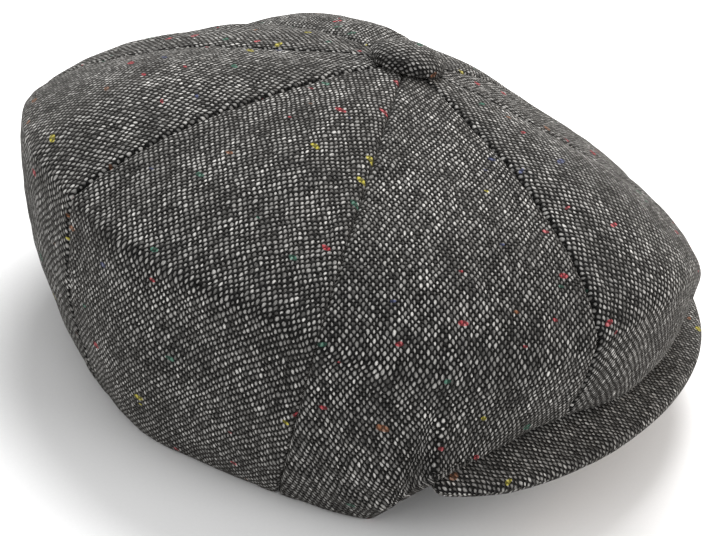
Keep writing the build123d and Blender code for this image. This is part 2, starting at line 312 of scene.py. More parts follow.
def crown_lines(heading):
    """Radius and height of the crown's outside, a column for each heading, from the shank to the hem."""
    rim = rim_radius(heading)
    rim_height = rim_height_at(heading)
    fold = fold_radius(heading)
    fold_height = height_at(fold, heading, fold_over_table(heading))
    turned_up = np.maximum(BAND_BOTTOM + TWEED, fold_over_table(heading) + TURN_UP)
    edge = band_radius(heading, STIFFENER + SEAM_CLEARANCE, turned_up)
    edge_height = height_at(edge, heading, turned_up)
    hem = band_radius(heading, STIFFENER + SEAM_CLEARANCE, turned_up + SEAM_ALLOWANCE)
    hem_height = height_at(hem, heading, turned_up + SEAM_ALLOWANCE)

    turn = np.linspace(0.0, math.pi / 2.0, FINE + 1)[:, None]
    fullness = between(WALL_FULLNESS, heading)
    top = HOLE_RADIUS + (rim - HOLE_RADIUS) * np.sin(turn)
    slack = CORNER_BULGE * np.exp(-(((turned(heading) - CORNER_HEADING) / CORNER_WIDTH) ** 2))
    out = np.clip(np.cos(turn), 0.0, 1.0) ** (2.0 / fullness)
    down = np.sin(turn) ** (2.0 / fullness)
    wall = fold + (rim - fold) * out + slack * np.sin(2.0 * turn) ** 1.5
    stretches = (
        (top, top_height(top, heading), TOP_ROWS),
        (wall, rim_height + (fold_height - rim_height) * down, WALL_ROWS),
        (fold - (fold - edge) * np.sin(turn), edge_height + (fold_height - edge_height) * np.cos(turn), UNDER_ROWS),
        (np.stack([edge, hem]), np.stack([edge_height, hem_height]), HEM_ROWS),
    )
    radii, heights = [], []
    for number, (radius, height, rows) in enumerate(stretches):
        new_radius, new_height = even_rows(radius, height, rows)
        skip = 1 if number else 0
        radii.append(new_radius[skip:])
        heights.append(new_height[skip:])
    return np.vstack(radii), np.vstack(heights)


def lining_lines(heading):
    """Radius and height of the lining's outside, a column for each heading."""
    grow = STIFFENER + CLEARANCE + LINING
    top = BAND_BOTTOM + BAND_HEIGHT
    edge = band_radius(heading, grow, top + LINING_STRAIGHT)
    edge_height = height_at(edge, heading, top + LINING_STRAIGHT)
    hem = band_radius(heading, grow, top - LINING_OVERLAP)
    hem_height = height_at(hem, heading, top - LINING_OVERLAP)
    turn = np.linspace(0.0, math.pi / 2.0, FINE + 1)[:, None]
    out = LINING_POINT + (edge - LINING_POINT) * np.sin(turn)
    hang = top_height(out, heading) - LINING_GAP - edge_height
    down = edge_height + hang * np.clip(np.cos(turn), 0.0, 1.0) ** LINING_SHOULDER
    dome_radius, dome_height = even_rows(out, down, LINING_ROWS)
    straight = np.stack([edge, hem]), np.stack([edge_height, hem_height])
    hem_radius, hem_heights = even_rows(*straight, LINING_HEM_ROWS)
    return np.vstack([dome_radius, hem_radius[1:]]), np.vstack([dome_height, hem_heights[1:]])


# ---------------------------------------------------------------- meshes


def grid_faces(rows, columns, start, flip, closed=False):
    """Quads of a grid of points, laid out row by row."""
    across = columns if closed else columns - 1
    faces = []
    for row in range(rows - 1):
        for column in range(across):
            here = start + row * columns + column
            beside = start + row * columns + (column + 1) % columns
            quad = (here, beside, beside + columns, here + columns)
            faces.append(quad[::-1] if flip else quad)
    return faces


def linked(name, data):
    """A new object in the scene."""
    thing = bpy.data.objects.new(name, data)
    bpy.context.scene.collection.objects.link(thing)
    return thing


def cloth_mesh(name, points, faces, cloth):
    """A smooth mesh whose points know where they are on their flat cloth."""
    mesh = bpy.data.meshes.new(name)
    mesh.from_pydata(points.reshape(-1, 3).tolist(), [], faces)
    mesh.shade_smooth()
    attribute = mesh.attributes.new("cloth", "FLOAT_VECTOR", "POINT")
    attribute.data.foreach_set("vector", cloth.astype(np.float32).ravel())
    return linked(name, mesh)


def shell(name, outside, inside, cloth, closed=False, flip=False):
    """A closed piece of cloth between two grids of points, with the cloth's own flat coordinates."""
    rows, columns = outside.shape[:2]
    count = rows * columns
    faces = grid_faces(rows, columns, 0, flip, closed) + grid_faces(rows, columns, count, not flip, closed)
    across = columns if closed else columns - 1
    sides = []
    for column in range(across):
        beside = (column + 1) % columns
        last = (rows - 1) * columns
        sides.append((column, count + column, count + beside, beside))
        sides.append((last + column, last + beside, count + last + beside, count + last + column))
    if not closed:
        for row in range(rows - 1):
            left = row * columns
            right = left + columns - 1
            sides.append((left, left + columns, count + left + columns, count + left))
            sides.append((right, count + right, count + right + columns, right + columns))
    faces += [quad[::-1] if flip else quad for quad in sides]
    return cloth_mesh(name, np.stack([outside, inside]), faces, np.stack([cloth, cloth]))


def normals_of(points, closed=False):
    """Unit normals of a grid of points, from its neighbours."""
    if closed:
        wide = np.concatenate([points[:, -1:], points, points[:, :1]], axis=1)
        across = (wide[:, 2:] - wide[:, :-2]) / 2.0
    else:
        across = np.gradient(points, axis=1)
    down = np.gradient(points, axis=0)
    normal = np.cross(across, down)
    return normal / np.maximum(np.linalg.norm(normal, axis=-1, keepdims=True), 1e-12)


def gore_columns():
    """Headings across a gore from its middle, close together towards its two seams."""
    half = GORE_ANGLE / 2.0
    rim_width = math.radians(half) * RIM_HALF_WIDTH
    rest = np.linspace(MIDDLE_COLUMNS_FROM, rim_width, MIDDLE_COLUMNS)
    away = np.concatenate([np.array(SEAM_COLUMNS_MM) * 0.001, rest])
    side = half - away / rim_width * half
    return np.concatenate([-side, side[::-1][1:]])


def flat_coordinates(base, length, offset):
    """Where each point of a gore was on the flat cloth: across and along its grain."""
    step = np.linalg.norm(np.diff(base, axis=1), axis=-1)
    across = np.hstack([np.zeros((len(base), 1)), np.cumsum(step, axis=1)])
    across -= across[:, np.argmin(np.abs(offset))][:, None]
    spread = across / np.maximum(length, 1e-6)
    return np.stack([length * np.sin(spread), length * np.cos(spread), np.zeros_like(spread)], axis=-1)


def seam_profile(away):
    """How far the cloth stands out beside a seam: rolled down into it, over the allowance, then flat."""
    roll = np.minimum(away / SEAM_ROLL, 1.0)
    groove = SEAM_ROLL * (np.sqrt(1.0 - (1.0 - roll) ** 2) - 1.0)
    ridge = ALLOWANCE_RIDGE * (1.0 - ease(away, ALLOWANCE_WIDTH * 0.75, ALLOWANCE_WIDTH * 1.25))
    return groove + ridge * ease(away, 0.0, SEAM_ROLL)


def gore_piece(number, lines_at, thickness, shape_cloth):
    """A gore's outside, inside and flat coordinates. shape_cloth says how far each point stands out."""
    offset = gore_columns()
    heading = (number - 1) * GORE_ANGLE + offset
    radius, height = lines_at(heading)
    base = place(radius, height, heading[None, :])
    normal = normals_of(base)
    for column in (0, -1):
        turn = math.radians(heading[column])
        sideways = np.array([-math.cos(turn) * math.cos(LEAN), math.sin(turn), math.cos(turn) * math.sin(LEAN)])
        edge = normal[:, column]
        edge -= (edge @ sideways)[:, None] * sideways
        normal[:, column] = edge / np.linalg.norm(edge, axis=-1, keepdims=True)
    step = np.linalg.norm(np.diff(base, axis=0), axis=-1)
    length = HOLE_RADIUS + np.vstack([np.zeros(len(offset)), np.cumsum(step, axis=0)])
    away = np.radians(GORE_ANGLE / 2.0 - np.abs(offset))[None, :] * radius
    stand, groove = shape_cloth(number, base, radius, length, offset, away)
    outside = base + normal * (stand + groove)[..., None]
    inside = base + normal * (stand - thickness)[..., None]
    cloth = flat_coordinates(base, length, offset)
    cloth[..., 2] = number
    return outside, inside, cloth


def tweed_cloth(number, base, radius, length, offset, away):
    """The crown's cloth: puffed between its seams, uneven, puckered along the stitching."""
    share = np.abs(offset)[None, :] / (GORE_ANGLE / 2.0)
    rows = np.arange(base.shape[0])[:, None]
    awake = ease(radius, 0.014, 0.050) * (1.0 - ease(rows, TOP_ROWS + WALL_ROWS, TOP_ROWS + WALL_ROWS + UNDER_ROWS))
    hang = 1.0 - 0.5 * ease(rows, TOP_ROWS, TOP_ROWS + WALL_ROWS)
    stand = PUFFS[number - 1] * awake * hang * (1.0 - share**2.4)
    for seed, (wavelength, amount) in enumerate(SLACK):
        stand = stand + amount * awake * waves(base, wavelength, seed + 3)
    heading = turned((number - 1) * GORE_ANGLE + offset)[None, :]
    reach = np.where(heading > CORNER_HEADING, WRINKLE_REACH, WRINKLE_REACH / 3.0)
    corner = np.exp(-(((heading - CORNER_HEADING) / reach) ** 2))
    begins = ease(rows, TOP_ROWS + WALL_ROWS * 0.3, TOP_ROWS + WALL_ROWS * 0.6)
    low = begins * (1.0 - ease(rows, TOP_ROWS + WALL_ROWS * 0.8, TOP_ROWS + WALL_ROWS))
    folds = np.sin((rows - TOP_ROWS) * (2.0 * math.pi / WRINKLE_ROWS) + heading / 6.0)
    stand = stand + WRINKLE * awake * corner * low * folds
    pucker = np.sin(length * (2.0 * math.pi / PUCKER_LENGTH) + 2.0 * waves(base, 0.05, 21))
    stand = stand + PUCKER * awake * pucker * np.exp(-away / PUCKER_REACH)
    room = np.radians(GORE_ANGLE / 2.0) * radius
    squeeze = np.minimum(room / (3.0 * SEAM_ROLL), 1.0)
    return stand, seam_profile(away / np.maximum(squeeze, 1e-3)) * squeeze


def satin_cloth(number, base, radius, length, offset, away):
    """The lining: thin, with soft folds and fine seams."""
    share = np.abs(offset)[None, :] / (GORE_ANGLE / 2.0)
    awake = ease(radius, 0.010, 0.035) * ease(base[..., 2], 0.070, 0.076)
    stand = -0.0012 * awake * (1.0 - share**2.0)
    stand = stand + 0.0005 * awake * waves(base, 0.028, 31)
    groove = 0.0005 * np.exp(-((away / 0.0008) ** 2)) * awake
    return stand, groove


# ---------------------------------------------------------------- materials


class Nodes:
    """A short way to lay out a material's nodes."""

    def __init__(self, name):
        self.material = bpy.data.materials.new(name)
        self.material.use_nodes = True
        self.tree = self.material.node_tree
        self.tree.nodes.clear()
        self.output = self.tree.nodes.new("ShaderNodeOutputMaterial")
        self.shader = self.tree.nodes.new("ShaderNodeBsdfPrincipled")
        self.link(self.shader.outputs[0], self.output.inputs[0])

    def link(self, source, target):
        self.tree.links.new(source, target)

    def fill(self, socket, value):
        if isinstance(value, bpy.types.NodeSocket):
            self.link(value, socket)
        else:
            socket.default_value = value

    def add(self, kind, *values, **settings):
        """A new node with its settings, and its first inputs filled."""
        node = self.tree.nodes.new("ShaderNode" + kind)
        for name, setting in settings.items():
            setattr(node, name, setting)
        for socket, value in zip(node.inputs, values):
            self.fill(socket, value)
        return node

    def math(self, operation, *values, clamp=False):
        return self.add("Math", *values, operation=operation, use_clamp=clamp).outputs[0]

    def scaled(self, value, factor, offset):
        return self.math("ADD", self.math("MULTIPLY", value, factor), offset)

    def vector(self, operation, *values):
        return self.add("VectorMath", *values, operation=operation).outputs[0]

    def split(self, vector):
        return self.add("SeparateXYZ", vector).outputs

    def join(self, x, y, z):
        return self.add("CombineXYZ", x, y, z).outputs[0]

    def cloth(self):
        return self.add("Attribute", attribute_name="cloth").outputs["Vector"]

    def place(self):
        return self.add("TexCoord").outputs["Object"]

    def noise(self, vector, scale, detail=2.0, roughness=0.5):
        node = self.add("TexNoise", vector)
        node.inputs["Scale"].default_value = scale
        node.inputs["Detail"].default_value = detail
        node.inputs["Roughness"].default_value = roughness
        return node.outputs

    def moved(self, vector, noise, amount):
        """A vector moved about by a noise's colour."""
        centred = self.vector("SUBTRACT", noise, (0.5, 0.5, 0.5))
        return self.vector("ADD", vector, self.vector("MULTIPLY", centred, amount))

    def random(self, vector):
        return self.add("TexWhiteNoise", vector).outputs

    def voronoi(self, vector, scale):
        node = self.add("TexVoronoi", vector, voronoi_dimensions="2D")
        node.inputs["Scale"].default_value = scale
        return node.outputs

    def smooth(self, value, start, end, low=0.0, high=1.0):
        return self.add("MapRange", value, start, end, low, high, interpolation_type="SMOOTHSTEP").outputs[0]

    def bands(self, value, stops):
        node = self.add("ValToRGB", value)
        node.color_ramp.interpolation = "CONSTANT"
        while len(node.color_ramp.elements) < len(stops):
            node.color_ramp.elements.new(0.5)
        for element, (position, colour) in zip(node.color_ramp.elements, stops):
            element.position = position
            element.color = (*colour, 1.0)
        return node.outputs[0]

    def mix(self, factor, first, second, blend="MIX"):
        node = self.add("Mix", factor, data_type="RGBA", blend_type=blend)
        for socket, colour in ((node.inputs[6], first), (node.inputs[7], second)):
            self.fill(socket, (*colour, 1.0) if isinstance(colour, tuple) else colour)
        return node.outputs[2]

    def bump(self, height, distance, strength=1.0):
        node = self.add("Bump")
        node.inputs["Strength"].default_value = strength
        node.inputs["Distance"].default_value = distance
        self.link(height, node.inputs["Height"])
        self.link(node.outputs[0], self.shader.inputs["Normal"])

    def surface(self, **values):
        for name, value in values.items():
            self.fill(self.shader.inputs[name.replace("_", " ")], value)


def tweed_material():
    """Plain weave of light slubby yarns over near-black ones, with coloured neps, a dusty bloom and painted shade in
    the gaps between the yarns.
    """
    n = Nodes("tweed")
    cloth = n.cloth()
    wander = n.noise(cloth, 95.0, 2.0)["Color"]
    jitter = n.noise(cloth, 420.0, 1.0)["Color"]
    moved = n.moved(cloth, wander, (0.0022, 0.0016, 0.0))
    moved = n.moved(moved, jitter, (0.0008, 0.0010, 0.0))
    u, v, gore = n.split(n.vector("MULTIPLY", moved, (1.0 / ACROSS_PITCH, 1.0 / ALONG_PITCH, 1.0)))

    def picks(shift_u, shift_v, oval, number):
        """Where a yarn shows on top: an oval at every second crossing, each a little different."""
        pu = n.math("ADD", u, shift_u)
        pv = n.math("ADD", v, shift_v)
        cell_u = n.math("FLOOR", n.math("MULTIPLY", pu, 0.5))
        cell_v = n.math("FLOOR", n.math("MULTIPLY", pv, 0.5))
        local_u = n.math("SUBTRACT", n.math("SUBTRACT", pu, n.math("MULTIPLY", cell_u, 2.0)), 1.0)
        local_v = n.math("SUBTRACT", n.math("SUBTRACT", pv, n.math("MULTIPLY", cell_v, 2.0)), 1.0)
        chance = n.random(n.join(cell_u, cell_v, n.math("ADD", gore, number)))
        size = n.scaled(chance["Value"], 0.75, 0.5)
        far = n.math("ADD", n.math("POWER", n.math("DIVIDE", local_u, oval[0]), 2.0),
                     n.math("POWER", n.math("DIVIDE", local_v, oval[1]), 2.0))
        dome = n.math("SUBTRACT", 1.0, n.math("DIVIDE", far, size), clamp=True)
        bright = n.split(chance["Color"])[1]
        return dome, bright

    light_a, bright_a = picks(0.0, 0.0, LIGHT_OVAL, 0.0)
    light_b, bright_b = picks(1.0, 1.0, LIGHT_OVAL, 20.0)
    dark_a, _ = picks(1.0, 0.0, DARK_OVAL, 40.0)
    dark_b, _ = picks(0.0, 1.0, DARK_OVAL, 60.0)
    light = n.math("MAXIMUM", light_a, light_b)
    dark = n.math("MAXIMUM", dark_a, dark_b)
    first = n.math("GREATER_THAN", light_a, light_b)
    second = n.math("SUBTRACT", 1.0, first)
    bright = n.math("ADD", n.math("MULTIPLY", bright_a, first), n.math("MULTIPLY", bright_b, second))

    slub = n.noise(n.vector("MULTIPLY", cloth, (820.0, 60.0, 1.0)), 1.0, 2.0)["Fac"]
    cloud = n.noise(cloth, 45.0, 3.0, 0.6)["Fac"]
    shown = n.smooth(light, 0.02, 0.92)
    power = n.math("MULTIPLY", n.smooth(slub, 0.30, 0.68, 0.45, 1.25), n.smooth(cloud, 0.30, 0.70, 0.70, 1.25))
    power = n.math("MULTIPLY", power, n.scaled(bright, 0.74, 0.20))
    wool = n.mix(n.split(n.random(n.vector("MULTIPLY", cloth, (300.0, 300.0, 1.0)))["Color"])[0],
                 (0.47, 0.47, 0.46), (0.54, 0.52, 0.49))
    # Painted shade: the near-black is the dark yarns' own colour, darkened further towards the gaps between the
    # yarns
    ground_and_gap_shade = n.mix(n.smooth(dark, 0.0, 0.8), (0.002, 0.002, 0.002), (0.009, 0.009, 0.009))
    lit = n.mix(1.0, wool, n.join(power, power, power), "MULTIPLY")
    colour = n.mix(shown, ground_and_gap_shade, lit)

    apart = n.join(n.math("MULTIPLY", gore, 0.37), n.math("MULTIPLY", gore, 0.53), 0.0)
    spots = n.voronoi(n.vector("MULTIPLY", n.vector("ADD", moved, apart), (0.55, 1.0, 1.0)), 92.0)
    chosen = n.split(spots["Color"])
    near = n.math("LESS_THAN", spots["Distance"], n.scaled(chosen[1], 0.08, 0.03))
    rare = n.math("GREATER_THAN", chosen[0], 0.45)
    hue = n.bands(chosen[2], (
        (0.0, (0.48, 0.025, 0.045)), (0.34, (0.02, 0.16, 0.10)), (0.56, (0.30, 0.11, 0.04)),
        (0.72, (0.55, 0.48, 0.03)), (0.86, (0.05, 0.07, 0.20)),
    ))
    dyed = n.mix(n.smooth(light, 0.0, 0.6, 0.25, 1.0), (0.02, 0.02, 0.02), hue)
    colour = n.mix(n.math("MULTIPLY", n.math("MULTIPLY", near, rare), 0.7), colour, dyed)

    hairs = n.noise(cloth, 2600.0, 3.0, 0.7)["Fac"]
    relief = n.math("MAXIMUM", light, n.math("MULTIPLY", dark, 0.8))
    relief = n.math("ADD", n.smooth(relief, 0.0, 0.9), n.math("MULTIPLY", hairs, 0.35))
    n.bump(relief, 0.00045, 0.9)
    n.surface(Base_Color=colour, Roughness=n.smooth(light, 0.0, 1.0, 0.95, 0.82),
              Sheen_Weight=0.12, Sheen_Roughness=0.45, Specular_IOR_Level=0.04)
    n.shader.inputs["Sheen Tint"].default_value = (0.95, 0.90, 0.83, 1.0)
    return n.material


def satin_material(name, colour, shine):
    """Satin: long smooth floats, with a soft run of shine and shade."""
    n = Nodes(name)
    cloth = n.cloth()
    floats = n.noise(n.vector("MULTIPLY", cloth, (4200.0, 380.0, 1.0)), 1.0, 2.0)["Fac"]
    cloud = n.noise(cloth, 40.0, 2.0)["Fac"]
    deep = tuple(0.6 * part for part in colour)
    n.bump(floats, 0.00006, 0.6)
    n.surface(Base_Color=n.mix(n.smooth(cloud, 0.3, 0.7), deep, colour),
              Roughness=n.smooth(floats, 0.2, 0.8, shine, shine + 0.18), Sheen_Weight=0.2, Anisotropic=0.5)
    return n.material


def twill_material(name, colour, pitch):
    """Cotton twill tape: diagonal ribs with a little fuzz, and painted shade in the grooves between the ribs."""
    n = Nodes(name)
    cloth = n.cloth()
    parts = n.split(n.vector("MULTIPLY", cloth, (1.0 / pitch, 1.0 / pitch, 1.0)))
    rib = n.math("SINE", n.math("MULTIPLY", n.math("ADD", parts[0], parts[1]), 2.0 * math.pi))
    cross = n.math("SINE", n.math("MULTIPLY", n.math("SUBTRACT", parts[0], parts[1]), 4.0 * math.pi))
    height = n.math("ADD", n.math("MULTIPLY", rib, 0.5), n.math("MULTIPLY", cross, 0.18))
    dust = n.noise(cloth, 900.0, 3.0, 0.7)["Fac"]
    # The colour darkens with the ribs' height, which is painted shade in the grooves, plus the fuzz's own dusty tone
    rib_shade_and_dust = n.smooth(n.math("ADD", height, n.math("MULTIPLY", dust, 0.7)), -0.5, 1.0)
    deep = tuple(0.45 * part for part in colour)
    n.bump(height, 0.00012, 0.8)
    n.surface(Base_Color=n.mix(rib_shade_and_dust, deep, colour), Roughness=n.smooth(dust, 0.2, 0.8, 0.72, 0.9), Sheen_Weight=0.25)
    return n.material


def solid_material(name, colour, roughness, metallic, grain):
    """A hidden part's plain finish: moulded plastic, buckram or pressed metal."""
    n = Nodes(name)
    spot = n.place()
    speckle = n.noise(spot, grain, 4.0, 0.6)["Fac"]
    deep = tuple(0.75 * part for part in colour)
    n.bump(speckle, 0.00005, 0.5)
    n.surface(Base_Color=n.mix(n.smooth(speckle, 0.3, 0.7), deep, colour),
              Roughness=n.smooth(speckle, 0.3, 0.7, roughness, roughness + 0.12))
    n.shader.inputs["Metallic"].default_value = metallic
    return n.material


def stage_material():
    """Pale paper with a faint fibre."""
    n = Nodes("stage_paper")
    fibre = n.noise(n.place(), 900.0, 3.0)["Fac"]
    n.bump(fibre, 0.00003, 0.2)
    n.surface(Base_Color=n.mix(fibre, (0.86, 0.86, 0.86), (0.90, 0.90, 0.90)), Roughness=0.9)
    return n.material


# ---------------------------------------------------------------- pieces


def put_on(piece, material, slot, *nodes):
    """Give a piece its material, attach it to the root and hide the CAD nodes that it stands for; the slot argument
    is not used.
    """
    piece.data.materials.append(material)
    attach(piece, "root")
    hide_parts(*nodes)


def make_crown(tweed):
    for number in range(1, GORES + 1):
        outside, inside, cloth = gore_piece(number, crown_lines, TWEED, tweed_cloth)
        over_peak = (turned((number - 1) * GORE_ANGLE + gore_columns()) < PEAK_HEADING)[None, :]
        for points, over in ((outside, 0.0), (inside, TWEED * 0.8)):
            rest = np.where(over_peak, peak_top(points[..., 0], points[..., 1]) + PEAK_GAP, TABLE)
            points[..., 2] = np.maximum(points[..., 2], rest + over)
        piece = shell(f"crown_gore_{number}", outside, inside, cloth)
        put_on(piece, tweed, "tweed", f"crown_panel_{number}")


def make_lining(satin):
    for number in range(1, GORES + 1):
        outside, inside, cloth = gore_piece(number, lining_lines, LINING, satin_cloth)
        piece = shell(f"lining_gore_{number}", outside, inside, cloth)
        put_on(piece, satin, "satin_lining", f"lining_panel_{number}")


def band_point(turn, grow, height):
    """A point of the head opening's outline, moved outwards so far."""
    x = MIDDLE_X + (BAND_HALF_WIDTH + grow) * np.sin(turn)
    y = BAND_Y - (BAND_HALF_LENGTH + grow) * np.cos(turn)
    return np.stack(np.broadcast_arrays(x, y, height), axis=-1)


def band_length(turn):
    """How far round the head opening a turn has come."""
    step = np.linalg.norm(np.diff(band_point(turn, 0.0, 0.0), axis=0), axis=-1)
    return np.concatenate([[0.0], np.cumsum(step)])


def make_sweatband(twill):
    """A tape that is folded under at its lower edge, with a slight wave."""
    around = np.linspace(0.0, 2.0 * math.pi, BAND_COLUMNS + 1)
    turn = around[:-1]
    top = BAND_BOTTOM + BAND_HEIGHT
    bend_radius = (SWEATBAND + STIFFENER) / 2.0
    inner = [(-SWEATBAND, z) for z in np.linspace(top, BAND_BOTTOM + bend_radius, 26)]
    for angle in np.linspace(0.0, math.pi, 9)[1:]:
        over, under = 1.0 - math.cos(angle), 1.0 - math.sin(angle)
        inner.append((-SWEATBAND + bend_radius * over, BAND_BOTTOM + bend_radius * under))
    grow, height = np.array(inner).T[..., None]
    outside = band_point(turn[None, :], grow, height)
    soft = 0.00035 * waves(outside, 0.035, 41)
    outward = np.stack([np.sin(turn), -np.cos(turn), np.zeros_like(turn)], axis=-1)[None]
    fade = ease(height, BAND_BOTTOM + 0.002, BAND_BOTTOM + 0.008) * (1.0 - ease(height, top - 0.006, top))
    outside = outside - outward * (np.abs(soft) * fade)[..., None]
    toward = outside - normals_of(outside, closed=True) * SWEATBAND * 0.55
    length = band_length(around)[:-1]
    along = np.concatenate([[0.0], np.cumsum(np.hypot(np.diff(grow[:, 0]), np.diff(height[:, 0])))])
    cloth = np.stack([np.broadcast_to(length[None, :], outside.shape[:2]),
                      np.broadcast_to(along[:, None], outside.shape[:2]),
                      np.zeros(outside.shape[:2])], axis=-1)
    piece = shell("sweatband_tape", outside, toward, cloth, closed=True)
    put_on(piece, twill, "sweatband", "sweatband")


def tube(name, centre, radius, sides, ripple):
    """A closed tube that follows a closed line of points. ripple says how thick it is where."""
    ahead = np.roll(centre, -1, axis=0) - np.roll(centre, 1, axis=0)
    ahead /= np.linalg.norm(ahead, axis=-1, keepdims=True)
    side = np.cross(ahead, np.array([0.0, 0.0, 1.0]))
    side /= np.linalg.norm(side, axis=-1, keepdims=True)
    over = np.cross(side, ahead)
    angle = np.linspace(0.0, 2.0 * math.pi, sides + 1)[:-1]
    reach = radius * ripple(np.arange(len(centre))[:, None], angle[None, :])
    points = (centre[:, None] + side[:, None] * (np.cos(angle)[None, :] * reach)[..., None]
              + over[:, None] * (np.sin(angle)[None, :] * reach)[..., None])
    faces = []
    for ring in range(len(centre)):
        here, there = ring * sides, (ring + 1) % len(centre) * sides
        for corner in range(sides):
            beside = (corner + 1) % sides
            faces.append((here + corner, here + beside, there + beside, there + corner))
    step = np.linalg.norm(np.diff(centre, axis=0), axis=-1)
    run = np.concatenate([[0.0], np.cumsum(step)])
    flat = np.stack([np.broadcast_to(angle[None, :] * radius, points.shape[:2]),
                     np.broadcast_to(run[:, None], points.shape[:2]), np.zeros(points.shape[:2])], axis=-1)
    return cloth_mesh(name, points, faces, flat)


def make_piping(satin):
    """A bias-cut tube with a slight twist, along the sweatband's top."""
    turn = np.linspace(0.0, 2.0 * math.pi, 2 * BAND_COLUMNS + 1)[:-1]
    centre = band_point(turn, -PIPING_INSET, BAND_BOTTOM + BAND_HEIGHT + PIPING_RADIUS)

    def twist(ring, angle):
        return 1.0 - 0.05 * (1.0 + np.sin(ring * 0.55 + angle * 2.0))

    piece = tube("sweatband_bias_piping", centre, PIPING_RADIUS, 14, twist)
    put_on(piece, satin, "piping", "sweatband_piping")


def peak_outline(count):
    """The peak's plan outline from one end of its inner edge to the other, with rounded corners."""
    turn = np.radians(np.linspace(-PEAK_SWEEP, PEAK_SWEEP, 181))
    depth = PEAK_WIDEST_Y - PEAK_TIP_Y
    forward = depth * np.cos(turn) ** PEAK_ROUNDNESS
    arc = np.stack([MIDDLE_X + PEAK_HALF_WIDTH * np.sin(turn), PEAK_WIDEST_Y - forward], axis=-1)
    centre = np.array([MIDDLE_X, AXIS_Y])
    share = np.linspace(0.0, 1.0, 60)[:, None]
    grow = STIFFENER + CLEARANCE

    def on_band(end):
        """Where the straight side from a corner meets the head opening."""
        ray = end - centre
        points = centre + ray * np.linspace(0.0, 1.0, 2001)[:, None]
        across = (points[:, 0] - MIDDLE_X) / (BAND_HALF_WIDTH + grow)
        along = (points[:, 1] - BAND_Y) / (BAND_HALF_LENGTH + grow)
        return points[np.argmin(np.abs(np.hypot(across, along) - 1.0))]

    first, last = on_band(arc[0]), on_band(arc[-1])
    line = np.concatenate([first + (arc[0] - first) * share[:-1], arc, arc[-1] + (last - arc[-1]) * share[1:]])
    step = np.linalg.norm(np.diff(line, axis=0), axis=-1)
    length = np.concatenate([[0.0], np.cumsum(step)])
    spaced = np.linspace(0.0, length[-1], count)
    line = np.stack([np.interp(spaced, length, line[:, 0]), np.interp(spaced, length, line[:, 1])], axis=-1)
    spacing = length[-1] / count
    window = max(int(PEAK_CORNER_RADIUS * 0.9 / spacing), 1)
    near_corner = corner_weight(line, arc, window * spacing)
    smooth = line.copy()
    for _ in range(4):
        before, after = np.repeat(smooth[:1], window, axis=0), np.repeat(smooth[-1:], window, axis=0)
        summed = np.cumsum(np.concatenate([np.zeros((1, 2)), before, smooth, after]), axis=0)
        averaged = (summed[2 * window + 1:] - summed[:-2 * window - 1]) / (2 * window + 1)
        smooth = smooth + (averaged - smooth) * near_corner[:, None]
    return smooth, first, last


def corner_weight(line, arc, reach):
    """1 near the peak's two corners and 0 elsewhere."""
    away = np.minimum(np.linalg.norm(line - arc[0], axis=-1), np.linalg.norm(line - arc[-1], axis=-1))
    return 1.0 - ease(away, reach * 1.2, reach * 2.4)


def level(points, height):
    """Plan points, all at one height."""
    return np.concatenate([points, np.full((len(points), 1), height)], axis=-1)


def peak_cover(name, side, tweed, node):
    """One of the peak's two covers, rolled over the board's edge to their common seam."""
    line, first, last = peak_outline(PEAK_COLUMNS)
    tangent = np.gradient(line, axis=0)
    outward = np.stack([tangent[:, 1], -tangent[:, 0]], axis=-1)
    outward /= np.linalg.norm(outward, axis=-1, keepdims=True)
    start = math.atan2(first[0] - MIDDLE_X, -(first[1] - BAND_Y))
    end = math.atan2(last[0] - MIDDLE_X, -(last[1] - BAND_Y))
    turn = np.linspace(start, end, PEAK_COLUMNS)
    inner = band_point(turn, STIFFENER + CLEARANCE, 0.0)[:, :2]
    half_board = PEAK_BOARD / 2.0
    thick = half_board + PEAK_COVER
    seam = PEAK_COVER * 0.8
    room = np.linalg.norm(line - inner, axis=-1)
    squeeze = np.minimum(room / (2.0 * PEAK_ROLL), 1.0)[:, None]
    near = line - outward * PEAK_ROLL * squeeze
    rows_out, rows_in, rows_flat = [], [], []
    for share in np.linspace(0.0, 1.0, PEAK_ROWS):
        spot = inner + (near - inner) * share
        rows_out.append(level(spot, thick))
        rows_in.append(level(spot, half_board))
        rows_flat.append(spot)
    for angle in np.linspace(0.0, math.pi / 2.0, PEAK_ROLL_ROWS)[1:]:
        reach = PEAK_ROLL * (1.0 - math.sin(angle))
        reach_in = seam + (PEAK_ROLL - seam) * (1.0 - math.sin(angle))
        rows_out.append(level(line - outward * reach * squeeze, thick * math.cos(angle)))
        rows_in.append(level(line - outward * reach_in * squeeze, half_board * math.cos(angle)))
        rows_flat.append(near + outward * (PEAK_ROLL + thick) / 2.0 * angle * squeeze)
    outside, inside = np.array(rows_out), np.array(rows_in)
    for grid in (outside, inside):
        flat_points = grid.copy()
        flat_points[..., 2] = 0.0
        uneven = 0.00025 * waves(flat_points, 0.030, 51) + 0.00008 * waves(flat_points, 0.009, 52)
        grid[..., 2] = (grid[..., 2] + uneven * (grid[..., 2] > PEAK_BOARD / 3.0)) * side
        grid[..., 2] += peak_middle(grid[..., 0], grid[..., 1])
    number = np.full((*outside.shape[:2], 1), PEAK_CLOTH_NUMBER + side)
    cloth = np.concatenate([np.array(rows_flat), number], axis=-1)
    piece = shell(name, outside, inside, cloth, flip=side < 0)
    put_on(piece, tweed, "tweed", node)


